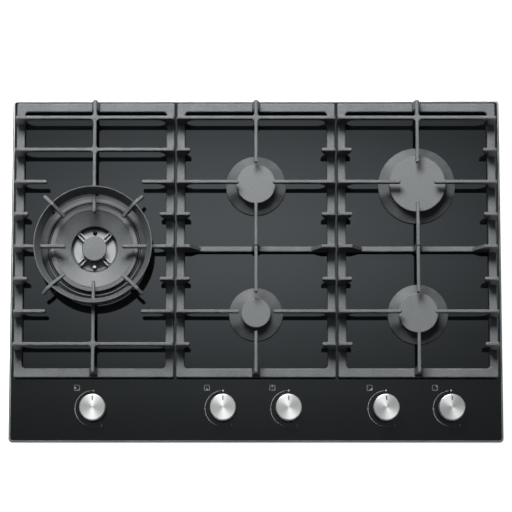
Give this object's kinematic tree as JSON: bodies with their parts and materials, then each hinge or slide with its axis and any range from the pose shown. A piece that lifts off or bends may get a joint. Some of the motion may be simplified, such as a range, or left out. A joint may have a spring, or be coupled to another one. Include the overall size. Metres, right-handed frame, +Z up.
{
  "type": "gas cooktop",
  "caption": "Built-in gas cooktop: black glass on a steel burner box, cast-iron pan supports, a loose wok ring, round lift-off burners and push-and-turn knobs.",
  "frame": {"origin": "middle of the underside of the burner box", "axes": "+X across to the right, +Y to the rear, +Z up; the knobs are at -Y"},
  "size_m": [0.75, 0.53, 0.1245],
  "materials": {
    "black_glass": "polished black",
    "trim_metal": "satin anodised",
    "gasket_foam": "closed-cell foam",
    "galvanised_sheet": "galvanised",
    "screw_steel": "zinc plated",
    "cast_grate": "matte enamelled",
    "black_rubber": "matte",
    "enamelled_cap": "matte enamelled",
    "burner_crown": "matte grey",
    "cast_cup": "as cast",
    "brushed_knob": "spun brushed",
    "valve_metal": "die cast",
    "valve_steel": "turned",
    "brass": "machined",
    "steel_pipe": "zinc plated",
    "aluminium_pipe": "drawn",
    "ceramic": "glazed white",
    "probe_copper": "drawn copper",
    "module_plastic": "moulded",
    "lead_silicone": "silicone",
    "harness_plastic": "moulded"
  },
  "bodies": {
    "cooktop": {"burner_box": "galvanised_sheet", "cord_gland": "harness_plastic", "cup_auxiliary": "cast_cup", "cup_bridges": "galvanised_sheet", "cup_rapid": "cast_cup", "cup_wok": "cast_cup", "cups_semi_rapid": "cast_cup", "electrodes": "ceramic", "feed_pipes": "aluminium_pipe", "gas_inlet": "brass", "gas_valve_1": "valve_metal", "gas_valve_2": "valve_metal", "gas_valve_3": "valve_metal", "gas_valve_4": "valve_metal", "gas_valve_5": "valve_metal", "glass_top": "black_glass", "hold_down_clamps": "galvanised_sheet", "ignition_leads": "lead_silicone", "ignition_module": "module_plastic", "injectors": "brass", "knob_seals": "black_rubber", "manifold_pipe": "steel_pipe", "screws": "screw_steel", "switch_harness": "harness_plastic", "thermocouples": "probe_copper", "trim_frame": "trim_metal", "worktop_gasket": "gasket_foam"},
    "support_left": {"pan_support_left": "cast_grate", "support_feet_left": "black_rubber"},
    "support_middle": {"pan_support_middle": "cast_grate", "support_feet_middle": "black_rubber"},
    "support_right": {"pan_support_right": "cast_grate", "support_feet_right": "black_rubber"},
    "wok_ring": {"wok_ring": "cast_grate"},
    "crown_wok": {"crown_wok": "burner_crown"},
    "cap_wok_ring": {"cap_wok_ring": "enamelled_cap"},
    "cap_wok_centre": {"cap_wok_centre": "enamelled_cap"},
    "crown_rapid": {"crown_rapid": "burner_crown"},
    "cap_rapid": {"cap_rapid": "enamelled_cap"},
    "crown_semi_rapid_rear": {"crown_semi_rapid_rear": "burner_crown"},
    "cap_semi_rapid_rear": {"cap_semi_rapid_rear": "enamelled_cap"},
    "crown_semi_rapid_front": {"crown_semi_rapid_front": "burner_crown"},
    "cap_semi_rapid_front": {"cap_semi_rapid_front": "enamelled_cap"},
    "crown_auxiliary": {"crown_auxiliary": "burner_crown"},
    "cap_auxiliary": {"cap_auxiliary": "enamelled_cap"},
    "plunger_1": {"push_rod_1": "valve_steel"},
    "knob_1": {"knob_1": "brushed_knob", "spindle_1": "valve_steel"},
    "plunger_2": {"push_rod_2": "valve_steel"},
    "knob_2": {"knob_2": "brushed_knob", "spindle_2": "valve_steel"},
    "plunger_3": {"push_rod_3": "valve_steel"},
    "knob_3": {"knob_3": "brushed_knob", "spindle_3": "valve_steel"},
    "plunger_4": {"push_rod_4": "valve_steel"},
    "knob_4": {"knob_4": "brushed_knob", "spindle_4": "valve_steel"},
    "plunger_5": {"push_rod_5": "valve_steel"},
    "knob_5": {"knob_5": "brushed_knob", "spindle_5": "valve_steel"}
  },
  "joints": [
    {"name": "lift_support_left", "type": "slide", "parent": "cooktop", "child": "support_left", "axis": [0, 0, 1], "range_m": [0, 0.15]},
    {"name": "lift_support_middle", "type": "slide", "parent": "cooktop", "child": "support_middle", "axis": [0, 0, 1], "range_m": [0, 0.15]},
    {"name": "lift_support_right", "type": "slide", "parent": "cooktop", "child": "support_right", "axis": [0, 0, 1], "range_m": [0, 0.15]},
    {"name": "lift_wok_ring", "type": "slide", "parent": "support_left", "child": "wok_ring", "axis": [0, 0, 1], "range_m": [0, 0.1]},
    {"name": "lift_crown_wok", "type": "slide", "parent": "cooktop", "child": "crown_wok", "axis": [0, 0, 1], "range_m": [0, 0.004]},
    {"name": "lift_cap_wok_ring", "type": "slide", "parent": "crown_wok", "child": "cap_wok_ring", "axis": [0, 0, 1], "range_m": [0, 0.004]},
    {"name": "lift_cap_wok_centre", "type": "slide", "parent": "crown_wok", "child": "cap_wok_centre", "axis": [0, 0, 1], "range_m": [0, 0.004]},
    {"name": "lift_crown_rapid", "type": "slide", "parent": "cooktop", "child": "crown_rapid", "axis": [0, 0, 1], "range_m": [0, 0.004]},
    {"name": "lift_cap_rapid", "type": "slide", "parent": "crown_rapid", "child": "cap_rapid", "axis": [0, 0, 1], "range_m": [0, 0.004]},
    {"name": "lift_crown_semi_rapid_rear", "type": "slide", "parent": "cooktop", "child": "crown_semi_rapid_rear", "axis": [0, 0, 1], "range_m": [0, 0.004]},
    {"name": "lift_cap_semi_rapid_rear", "type": "slide", "parent": "crown_semi_rapid_rear", "child": "cap_semi_rapid_rear", "axis": [0, 0, 1], "range_m": [0, 0.004]},
    {"name": "lift_crown_semi_rapid_front", "type": "slide", "parent": "cooktop", "child": "crown_semi_rapid_front", "axis": [0, 0, 1], "range_m": [0, 0.004]},
    {"name": "lift_cap_semi_rapid_front", "type": "slide", "parent": "crown_semi_rapid_front", "child": "cap_semi_rapid_front", "axis": [0, 0, 1], "range_m": [0, 0.004]},
    {"name": "lift_crown_auxiliary", "type": "slide", "parent": "cooktop", "child": "crown_auxiliary", "axis": [0, 0, 1], "range_m": [0, 0.004]},
    {"name": "lift_cap_auxiliary", "type": "slide", "parent": "crown_auxiliary", "child": "cap_auxiliary", "axis": [0, 0, 1], "range_m": [0, 0.004]},
    {"name": "press_knob_1", "type": "slide", "parent": "cooktop", "child": "plunger_1", "axis": [0, 0, -1], "range_m": [0, 0.003], "stiffness_N_per_m": 800, "springref_m": -0.004},
    {"name": "turn_knob_1", "type": "hinge", "parent": "plunger_1", "child": "knob_1", "pos_m": [-0.247, -0.213, 0.064], "axis": [0, 0, 1], "range_deg": [0, 210]},
    {"name": "press_knob_2", "type": "slide", "parent": "cooktop", "child": "plunger_2", "axis": [0, 0, -1], "range_m": [0, 0.003], "stiffness_N_per_m": 800, "springref_m": -0.004},
    {"name": "turn_knob_2", "type": "hinge", "parent": "plunger_2", "child": "knob_2", "pos_m": [-0.05, -0.213, 0.064], "axis": [0, 0, 1], "range_deg": [0, 210]},
    {"name": "press_knob_3", "type": "slide", "parent": "cooktop", "child": "plunger_3", "axis": [0, 0, -1], "range_m": [0, 0.003], "stiffness_N_per_m": 800, "springref_m": -0.004},
    {"name": "turn_knob_3", "type": "hinge", "parent": "plunger_3", "child": "knob_3", "pos_m": [0.0495, -0.213, 0.064], "axis": [0, 0, 1], "range_deg": [0, 210]},
    {"name": "press_knob_4", "type": "slide", "parent": "cooktop", "child": "plunger_4", "axis": [0, 0, -1], "range_m": [0, 0.003], "stiffness_N_per_m": 800, "springref_m": -0.004},
    {"name": "turn_knob_4", "type": "hinge", "parent": "plunger_4", "child": "knob_4", "pos_m": [0.197, -0.213, 0.064], "axis": [0, 0, 1], "range_deg": [0, 210]},
    {"name": "press_knob_5", "type": "slide", "parent": "cooktop", "child": "plunger_5", "axis": [0, 0, -1], "range_m": [0, 0.003], "stiffness_N_per_m": 800, "springref_m": -0.004},
    {"name": "turn_knob_5", "type": "hinge", "parent": "plunger_5", "child": "knob_5", "pos_m": [0.296, -0.213, 0.064], "axis": [0, 0, 1], "range_deg": [0, 210]}
  ]
}
